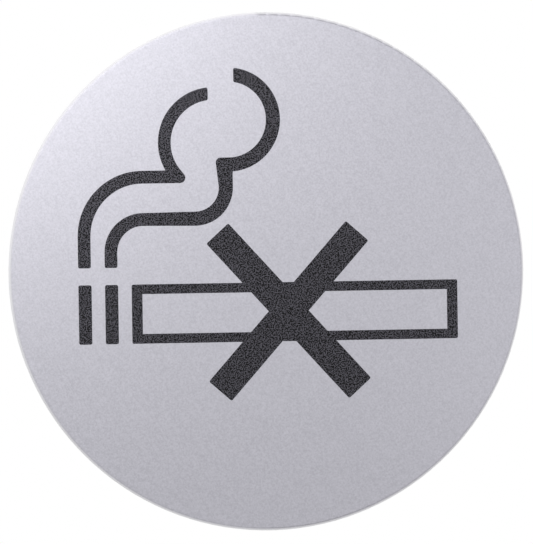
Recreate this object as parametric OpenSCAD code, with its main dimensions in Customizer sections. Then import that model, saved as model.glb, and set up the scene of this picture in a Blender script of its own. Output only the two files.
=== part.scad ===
// Round no smoking sign: one blanked disc of satin stainless sheet.
// The pictogram is etched into the face and filled with dark enamel.
// The sign stands upright with its face towards -Y, and Z is up.
// The origin is the centre of the flat back, which goes against the wall.
// Places on the face are measured from the disc's centre, on a disc 75 mm across.

/* [Plate] */
// Diameter of the disc
plate_d = 75; // [50:0.5:150]
// Thickness of the sheet
plate_t = 1; // [0.8:0.1:3]
// Radius of the rounded front edge
front_edge_r = 0.45; // [0.1:0.05:0.6]
// Width of the small chamfer round the back
back_chamfer = 0.1; // [0.05:0.05:0.2]

/* [Pictogram] */
// Depth of the etched recess
etch_depth = 0.15; // [0.1:0.05:0.4]
// How far the enamel stays below the face
enamel_drop = 0.02; // [0:0.01:0.06]
// Rounding of the outer corners
corner_r = 0.25; // [0.1:0.05:0.4]

/* [Cigarette] */
// Length of the cigarette up to the ash
cigarette_l = 47.5; // [42:0.5:50]
// Height of the cigarette
cigarette_h = 8.55; // [7:0.05:10]
// Centre of the cigarette, to the right of the disc's centre
cigarette_x = 3.95; // [3:0.05:5]
// Centre of the cigarette, above the disc's centre
cigarette_z = -5.85; // [-7:0.05:-5]
// Line width along the cigarette
side_line = 1.4; // [1:0.05:2]
// Line width across the ends
end_line = 1.55; // [1:0.05:2]
// Width of the ash bars
ash_w = 1.9; // [1.5:0.05:2.2]
// Gap in front of each ash bar
ash_gap = 1.95; // [1.5:0.05:2.2]

/* [Cross] */
// Length of each arm of the cross, from tip to tip
cross_l = 30.6; // [26:0.1:34]
// Width of the arms
cross_w = 4.35; // [3:0.05:5.5]
// Slope of the arms
cross_angle = 48.2; // [42:0.1:54]
// How far the cross as a whole is turned
cross_turn = 0.3; // [-2:0.1:2]
// Centre of the cross, to the right of the disc's centre
cross_x = 3; // [1:0.1:5]
// Centre of the cross, above the disc's centre
cross_z = -5.75; // [-7:0.05:-5]

/* [Smoke] */
// Line width of the smoke
smoke_w = 1.85; // [1.4:0.05:2]
// Gap between the ash and the smoke
smoke_gap = 2.45; // [1.5:0.05:4]

/* [Near smoke line] */
// Height of its level run
near_run_z = 7.8; // [7.4:0.1:8.6]
// Radius of the bend up from the ash
near_bend_r = 4.7; // [3.5:0.1:5]
// Place of the upright between the run and the hook
near_rise_x = -5.9; // [-7:0.1:-5.6]
// Radius of the bend into the upright
near_rise_r = 4.5; // [3.5:0.1:5]
// How far the upright leans to the left at its top
near_lean = 0.4; // [0:0.05:0.7]
// Radius at the corner between the upright and the hook
near_corner_r = 0.7; // [0.2:0.1:1]
// Centre of the hook, sideways
near_hook_x = -5.4; // [-6:0.1:-5.2]
// Centre of the hook, upwards
near_hook_z = 22.05; // [21:0.05:23]
// Radius of the hook
near_hook_r = 6.5; // [6:0.1:7]
// Line width of the upright and the hook
near_hook_w = 2.05; // [1.6:0.05:2.2]
// Place of the hook's cut end
near_end_x = -4.6; // [-5.2:0.1:-3]

/* [Far smoke line] */
// Height of its level run
far_run_z = 13.9; // [13:0.05:14.5]
// Radius of the bend up from the ash
far_bend_r = 8.5; // [7:0.1:9]
// Centre of the hook, sideways
far_hook_x = -7.65; // [-8.2:0.05:-7.2]
// Centre of the hook, upwards
far_hook_z = 18.75; // [18.4:0.05:19.2]
// Radius of the hook
far_hook_r = 7.1; // [6.8:0.05:7.4]
// Place of the hook's cut end
far_end_x = -8.35; // [-9:0.05:-7.8]
// Angle at which the hook turns into the tip
far_tip_angle = 215; // [210:1:218]
// Place of the tip's centre
far_tip_x = -12.5; // [-13:0.1:-12.4]
// Radius of the tip
far_tip_r = 0.75; // [0.6:0.05:1]

/* [Hidden] */
plate_r = plate_d / 2;
drawing_d = 75;
art_scale = plate_d / drawing_d;
ash_count = 2;
arc_chord = 0.6;
arc_steps = 4;
cut = 1;
$fn = 120;
cigarette_left = cigarette_x - cigarette_l / 2;
cigarette_top = cigarette_z + cigarette_h / 2;
smoke_z = cigarette_top + smoke_gap;
half_w = smoke_w / 2;

// Left edge of an ash bar, counted from the cigarette
function ash_left(i) = cigarette_left - (i + 1) * (ash_gap + ash_w);

// Points of an arc in short equal steps, from one angle to the other
function arc(x, z, r, from, to) =
    let (steps = max(arc_steps, ceil(abs(to - from) / 180 * PI * r / arc_chord)))
    [for (i = [0:steps]) let (a = from + (to - from) * i / steps) [x + r * cos(a), z + r * sin(a)]];

// Outline of a rectangle about its centre, with rounded corners
function rounded_box(w, h, r) = concat(
    arc(w / 2 - r, h / 2 - r, r, 0, 90),
    arc(r - w / 2, h / 2 - r, r, 90, 180),
    arc(r - w / 2, r - h / 2, r, 180, 270),
    arc(w / 2 - r, r - h / 2, r, 270, 360)
);

// The lower end of a smoke line, left edge first, and the bend above it
function stem_left(x, run_z, r) = concat(
    arc(x - half_w + corner_r, smoke_z + corner_r, corner_r, 270, 180),
    arc(x + r, run_z - r, r + half_w, 180, 90)
);
function stem_right(x, run_z, r) = concat(
    arc(x + r, run_z - r, r - half_w, 90, 180),
    arc(x + half_w - corner_r, smoke_z + corner_r, corner_r, 0, -90)
);

// Angle round a hook's centre at which its edge runs into the rounded corner of the cut end.
// The line lies on the given side of the end, and out is 1 on its outer edge and -1 on its inner one.
function end_angle(x, r, end_x, side, out) = acos((end_x + side * corner_r - x) / (r - out * corner_r));

// Points of that corner, from one angle round its own centre to the other
function end_corner(x, z, r, end_x, side, out, from, to) =
    let (a = end_angle(x, r, end_x, side, out))
    arc(end_x + side * corner_r, z + (r - out * corner_r) * sin(a), corner_r, from, to);

// The near line rises, runs level, turns up again and ends in a wide hook
module near_smoke() {
    stem_x = ash_left(0) + half_w;
    half_hook_w = near_hook_w / 2;
    inner_r = near_hook_r - half_hook_w;
    outer_r = near_hook_r + half_hook_w;
    rise_x = near_rise_x - near_rise_r;
    rise_z = near_run_z + near_rise_r;
    corner_x = near_rise_x - half_hook_w - near_lean + near_corner_r;
    corner_z = near_hook_z - inner_r - near_corner_r;
    right_x = near_rise_x + half_hook_w;
    inner_end = end_angle(near_hook_x, inner_r, near_end_x, 1, -1);
    outer_end = end_angle(near_hook_x, outer_r, near_end_x, 1, 1);
    polygon(concat(
        stem_left(stem_x, near_run_z, near_bend_r),
        arc(rise_x, rise_z, near_rise_r - half_hook_w, -90, 0),
        arc(corner_x, corner_z, near_corner_r, 180, 90),
        arc(near_hook_x, near_hook_z, inner_r, -90, inner_end),
        end_corner(near_hook_x, near_hook_z, inner_r, near_end_x, 1, -1, inner_end + 180, 180),
        end_corner(near_hook_x, near_hook_z, outer_r, near_end_x, 1, 1, 180, outer_end),
        arc(near_hook_x, near_hook_z, outer_r, outer_end, -acos((right_x - near_hook_x) / outer_r)),
        arc(rise_x, rise_z, near_rise_r + half_hook_w, 0, -90),
        stem_right(stem_x, near_run_z, near_bend_r)
    ));
}

// The far line rises, runs level to a blunt tip and turns back into a hook
module far_smoke() {
    stem_x = ash_left(1) + half_w;
    inner_r = far_hook_r - half_w;
    outer_r = far_hook_r + half_w;
    top_z = far_run_z + half_w;
    start = 180 + asin((far_hook_z - top_z) / outer_r);
    inner_end = end_angle(far_hook_x, inner_r, far_end_x, -1, -1);
    outer_end = end_angle(far_hook_x, outer_r, far_end_x, -1, 1);
    polygon(concat(
        stem_left(stem_x, far_run_z, far_bend_r),
        arc(far_hook_x, far_hook_z, outer_r, start, outer_end),
        end_corner(far_hook_x, far_hook_z, outer_r, far_end_x, -1, 1, outer_end, 0),
        end_corner(far_hook_x, far_hook_z, inner_r, far_end_x, -1, -1, 0, inner_end - 180),
        arc(far_hook_x, far_hook_z, inner_r, inner_end, far_tip_angle),
        arc(far_tip_x, far_run_z - half_w + far_tip_r, far_tip_r, far_tip_angle - 180, -90),
        stem_right(stem_x, far_run_z, far_bend_r)
    ));
}

// The cigarette is an open outline
module cigarette() {
    translate([cigarette_x, cigarette_z])
        difference() {
            polygon(rounded_box(cigarette_l, cigarette_h, corner_r));
            square([cigarette_l - 2 * end_line, cigarette_h - 2 * side_line], center = true);
        }
}

module ash() {
    for (i = [0:ash_count - 1])
        translate([ash_left(i) + ash_w / 2, cigarette_z])
            polygon(rounded_box(ash_w, cigarette_h, corner_r));
}

module cross() {
    translate([cross_x, cross_z])
        for (side = [-1, 1])
            rotate(side * cross_angle + cross_turn)
                polygon(rounded_box(cross_l, cross_w, corner_r));
}

// The whole figure, at the size it has on this disc
module pictogram() {
    scale([art_scale, art_scale]) {
        union() {
            cigarette();
            cross();
        }
        ash();
        near_smoke();
        far_smoke();
    }
}

// Stands a shape up that was drawn lying with its face on top
module upright() {
    rotate([90, 0, 0])
        children();
}

// Half section of the disc: rounded in front and broken at the back
module plate_section() {
    difference() {
        square([plate_r, plate_t]);
        translate([plate_r - front_edge_r, plate_t - front_edge_r])
            difference() {
                square(front_edge_r + cut);
                circle(r = front_edge_r);
            }
        translate([plate_r, 0])
            rotate(45)
                square(back_chamfer * sqrt(2), center = true);
    }
}

module plate() {
    color("Silver")
        upright()
            difference() {
                rotate_extrude()
                    plate_section();
                translate([0, 0, plate_t - etch_depth])
                    linear_extrude(etch_depth + cut)
                        pictogram();
            }
}

module pictogram_enamel() {
    color("DimGray")
        upright()
            translate([0, 0, plate_t - etch_depth])
                linear_extrude(etch_depth - enamel_drop)
                    pictogram();
}

plate();
pictogram_enamel();
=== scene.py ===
import math

import bpy
from mathutils import Matrix, Vector

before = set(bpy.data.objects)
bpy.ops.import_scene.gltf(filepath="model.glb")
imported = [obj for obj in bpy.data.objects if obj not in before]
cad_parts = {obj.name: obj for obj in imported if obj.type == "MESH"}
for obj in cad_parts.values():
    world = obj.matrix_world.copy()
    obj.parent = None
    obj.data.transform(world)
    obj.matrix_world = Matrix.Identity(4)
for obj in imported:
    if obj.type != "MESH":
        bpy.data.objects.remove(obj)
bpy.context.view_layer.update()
print("frame loaded:", sorted(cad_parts))


# A shader socket that takes part in ordinary arithmetic
class Value:
    def __init__(self, shader, socket):
        self.shader = shader
        self.socket = socket

    def work(self, operation, first, second):
        return self.shader.node("ShaderNodeMath", {"operation": operation}, {0: first, 1: second})

    def __add__(self, other):
        return self.work("ADD", self, other)

    def __radd__(self, other):
        return self.work("ADD", other, self)

    def __sub__(self, other):
        return self.work("SUBTRACT", self, other)

    def __rsub__(self, other):
        return self.work("SUBTRACT", other, self)

    def __mul__(self, other):
        return self.work("MULTIPLY", self, other)

    def __rmul__(self, other):
        return self.work("MULTIPLY", other, self)


# One material or world, and the nodes that are added to it
class Shader:
    def __init__(self, owner):
        owner.use_nodes = True
        self.tree = owner.node_tree
        self.tree.nodes.clear()

    def node(self, kind, settings=None, inputs=None, output=0):
        made = self.tree.nodes.new(kind)
        for name, value in (settings or {}).items():
            setattr(made, name, value)
        for name, value in (inputs or {}).items():
            if isinstance(value, Value):
                self.tree.links.new(value.socket, made.inputs[name])
            else:
                made.inputs[name].default_value = value
        return Value(self, made.outputs[output]) if made.outputs else None

    # Sockets 0, 6 and 7 of a Mix node are the factor and the two colours, and 2 is the result
    def mixColour(self, factor, first, second):
        return self.node("ShaderNodeMix", {"data_type": "RGBA"},
                         {0: factor, 6: first, 7: second}, 2)

    def noise(self, place, scale, detail, roughness):
        return self.node("ShaderNodeTexNoise", None,
                         {"Vector": place, "Scale": scale, "Detail": detail,
                          "Roughness": roughness})

    # Goes from 0 at the start to 1 at the end, and stays level beyond them
    def rise(self, value, start, end):
        return self.node("ShaderNodeMapRange", {"clamp": True},
                         {"Value": value, "From Min": start, "From Max": end})

    # 1 for rays from the camera, from reflections and through glass, 0 for the light itself
    def seen(self):
        camera, glossy, through = [self.node("ShaderNodeLightPath", output=ray) for ray in
                                   ("Is Camera Ray", "Is Glossy Ray", "Is Transmission Ray")]
        return self.node("ShaderNodeMath", {"operation": "ADD", "use_clamp": True},
                         {0: camera + glossy, 1: through})


def newMaterial(name):
    material = bpy.data.materials.new(name)
    return material, Shader(material)


def dress(node, material):
    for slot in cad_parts[node].material_slots:
        slot.material = material


middle = 0.5  # the average of a noise pattern

# Satin steel: a fine matt grain with faint straight drawing lines, and rougher at the rim.
# The rim also carries a painted highlight: its colour is brighter than the face's, standing in
# for light on the rounded edge. The starts and ends of the rim and of the highlight are metres
# from the centre of the disc.
steel = {
    "colour": (0.451, 0.445, 0.489, 1),
    "shade": (0.371, 0.3665, 0.404, 1),
    # Painted highlight: the bright colour of the rim's outer band, and where it starts and ends
    "rimHighlightColour": (0.84, 0.835, 0.855, 1),
    "highlightStart": 0.03712,
    "highlightEnd": 0.03738,
    "roughness": 0.42,
    "speckRoughness": 0.12,
    "cloudRoughness": 0.04,
    "rimRoughness": 0.62,
    "rimStart": 0.03700,
    "rimEnd": 0.03720,
    "speck": {"scale": 4500.0, "detail": 1.0, "roughness": 0.5},
    "line": {"scale": 4200.0, "detail": 3.0, "roughness": 0.6},
    "cloud": {"scale": 45.0, "detail": 3.0, "roughness": 0.5},
    "speckShare": 0.8,
    "lineShare": 0.2,
    "lineStretch": (1.0, 1.0, 0.03),
    "lineTurn": math.radians(30),
    "toneStart": 0.3,
    "toneEnd": 0.7,
    "bump": 0.12,
    "bumpDistance": 0.00003,
}


def satinSteel():
    material, shader = newMaterial("satinSteel")
    place = shader.node("ShaderNodeTexCoord", output="Object")

    # Grain: specks, and lines that slope across the face
    turned = shader.node("ShaderNodeMapping", None,
                         {"Vector": place, "Rotation": (0, steel["lineTurn"], 0)})
    lined = shader.node("ShaderNodeMapping", None,
                        {"Vector": turned, "Scale": steel["lineStretch"]})
    speck = shader.noise(place, **steel["speck"])
    line = shader.noise(lined, **steel["line"])
    cloud = shader.noise(place, **steel["cloud"])
    grain = speck * steel["speckShare"] + line * steel["lineShare"]

    # Rim: found by the distance from the centre, across the face
    flat = shader.node("ShaderNodeVectorMath", {"operation": "MULTIPLY"},
                       {0: place, 1: (1, 0, 1)})
    radius = shader.node("ShaderNodeVectorMath", {"operation": "LENGTH"}, {0: flat}, "Value")
    rim = shader.rise(radius, steel["rimStart"], steel["rimEnd"])
    bright = shader.rise(radius, steel["highlightStart"], steel["highlightEnd"])

    tone = shader.rise(grain, steel["toneStart"], steel["toneEnd"])
    face = shader.mixColour(tone, steel["shade"], steel["colour"])
    # Painted highlight: the colour brightens towards the edge of the rim
    colour = shader.mixColour(bright, face, steel["rimHighlightColour"])
    roughness = (steel["roughness"] + (speck - middle) * steel["speckRoughness"]
                 + (cloud - middle) * steel["cloudRoughness"])
    roughness = roughness * (1 - rim) + steel["rimRoughness"] * rim
    bump = shader.node("ShaderNodeBump", None,
                       {"Strength": steel["bump"], "Distance": steel["bumpDistance"],
                        "Height": grain * (1 - rim)})
    surface = shader.node("ShaderNodeBsdfPrincipled", None,
                          {"Base Color": colour, "Metallic": 1.0, "Roughness": roughness,
                           "Normal": bump})
    shader.node("ShaderNodeOutputMaterial", None, {"Surface": surface})
    return material


# Dark enamel: matt, with fine bright flecks of metal in it
enamel = {
    "colour": (0.001, 0.001, 0.001, 1),
    "fleck": (0.076, 0.0735, 0.0862, 1),
    "fleckStart": 0.45,
    "fleckEnd": 0.55,
    "roughness": 0.34,
    "speckRoughness": 0.1,
    "gloss": 0.1,
    "speck": {"scale": 6000.0, "detail": 0.0, "roughness": 0.5},
    "bump": 0.1,
    "bumpDistance": 0.00004,
}


def darkEnamel():
    material, shader = newMaterial("darkEnamel")
    place = shader.node("ShaderNodeTexCoord", output="Object")
    speck = shader.noise(place, **enamel["speck"])
    fleck = shader.rise(speck, enamel["fleckStart"], enamel["fleckEnd"])
    colour = shader.mixColour(fleck, enamel["colour"], enamel["fleck"])
    roughness = enamel["roughness"] + (speck - middle) * enamel["speckRoughness"]
    bump = shader.node("ShaderNodeBump", None,
                       {"Strength": enamel["bump"], "Distance": enamel["bumpDistance"],
                        "Height": speck})
    surface = shader.node("ShaderNodeBsdfPrincipled", None,
                          {"Base Color": colour, "Metallic": fleck, "Roughness": roughness,
                           "Normal": bump, "Specular IOR Level": enamel["gloss"]})
    shader.node("ShaderNodeOutputMaterial", None, {"Surface": surface})
    return material


dress("plate", satinSteel())
dress("pictogram_enamel", darkEnamel())
print("materials on the plate and the enamel")


# The floor lies a little below the sign, which a wall would hold.
# What is seen of it is a mix of its own lit colour and plain white.
floor = {
    "height": -0.07,
    "radius": 0.40,
    "sides": 96,
    "colour": (0.80, 0.80, 0.80, 1),
    "roughness": 0.9,
    "white": 1.0,
    "whiteShare": 0.5,
}


def paleFloor():
    bpy.ops.object.select_all(action="DESELECT")
    bpy.ops.mesh.primitive_circle_add(vertices=floor["sides"], radius=floor["radius"],
                                      fill_type="NGON", location=(0, 0, floor["height"]))
    made = bpy.context.object
    made.name = "floor"
    bpy.ops.object.transform_apply(location=True, rotation=True, scale=True)
    material, shader = newMaterial("paleFloor")
    lit = shader.node("ShaderNodeBsdfPrincipled", None,
                      {"Base Color": floor["colour"], "Roughness": floor["roughness"]})
    white = shader.node("ShaderNodeEmission", None,
                        {"Color": (1, 1, 1, 1), "Strength": floor["white"]})
    share = shader.seen() * floor["whiteShare"]
    surface = shader.node("ShaderNodeMixShader", None, {0: share, 1: lit, 2: white})
    shader.node("ShaderNodeOutputMaterial", None, {"Surface": surface})
    made.data.materials.append(material)


# Soft round lamps: each has a place, the point it faces, a size in metres and its power
lamps = {
    "leftLamp": {"place": (-0.06, -0.15, 0.06), "aim": (0, 0, 0), "size": 0.10, "power": 0.102},
    "topLamp": {"place": (-0.01, -0.15, 0.10), "aim": (0, 0, 0), "size": 0.10, "power": 0.060},
    "rightLamp": {"place": (0.12, -0.20, -0.01), "aim": (0, 0, 0), "size": 0.10, "power": 0.029},
}

# The room is white where it is seen, and lights the sign with its soft strength
room = {
    "white": 1.0,
    "soft": 0.40,
}


def light():
    for name, lamp in lamps.items():
        data = bpy.data.lights.new(name, "AREA")
        data.shape = "DISK"
        data.size = lamp["size"]
        data.energy = lamp["power"]
        made = bpy.data.objects.new(name, data)
        made.location = lamp["place"]
        facing = Vector(lamp["aim"]) - Vector(lamp["place"])
        made.rotation_euler = facing.to_track_quat("-Z", "Y").to_euler()
        made.visible_camera = False
        bpy.context.scene.collection.objects.link(made)
    world = bpy.data.worlds.new("paleRoom")
    bpy.context.scene.world = world
    shader = Shader(world)
    seen = shader.seen()
    strength = room["soft"] * (1 - seen) + room["white"] * seen
    walls = shader.node("ShaderNodeBackground", None,
                        {"Color": (1, 1, 1, 1), "Strength": strength})
    shader.node("ShaderNodeOutputWorld", None, {"Surface": walls})


paleFloor()
light()
print("floor, lamps and room in place")


# The camera stands left of the sign's axis and a little above it, and is rolled slightly
camera = {
    "left": math.radians(6.84),
    "up": math.radians(0.80),
    "roll": math.radians(-0.85),
    "distance": 0.860,
    "aim": (-0.00017, -0.001, -0.00007),
    "lens": 393.4,
    "sensor": 36,
    "nearest": 0.05,
    "furthest": 20,
}


def takeView():
    data = bpy.data.cameras.new("camera")
    data.lens = camera["lens"]
    data.sensor_width = camera["sensor"]
    data.clip_start = camera["nearest"]
    data.clip_end = camera["furthest"]
    made = bpy.data.objects.new("camera", data)
    left, up, roll = camera["left"], camera["up"], camera["roll"]
    back = Vector((-math.sin(left) * math.cos(up), -math.cos(left) * math.cos(up), math.sin(up)))
    right = Vector((0, 0, 1)).cross(back).normalized()
    above = back.cross(right)
    right, above = (right * math.cos(roll) + above * math.sin(roll),
                    above * math.cos(roll) - right * math.sin(roll))
    turn = Matrix((right, above, back)).transposed()
    place = Vector(camera["aim"]) + back * camera["distance"]
    made.matrix_world = Matrix.Translation(place) @ turn.to_4x4()
    bpy.context.scene.collection.objects.link(made)
    bpy.context.scene.camera = made
    bpy.context.scene.view_settings.view_transform = "Standard"


takeView()
print("camera in place")
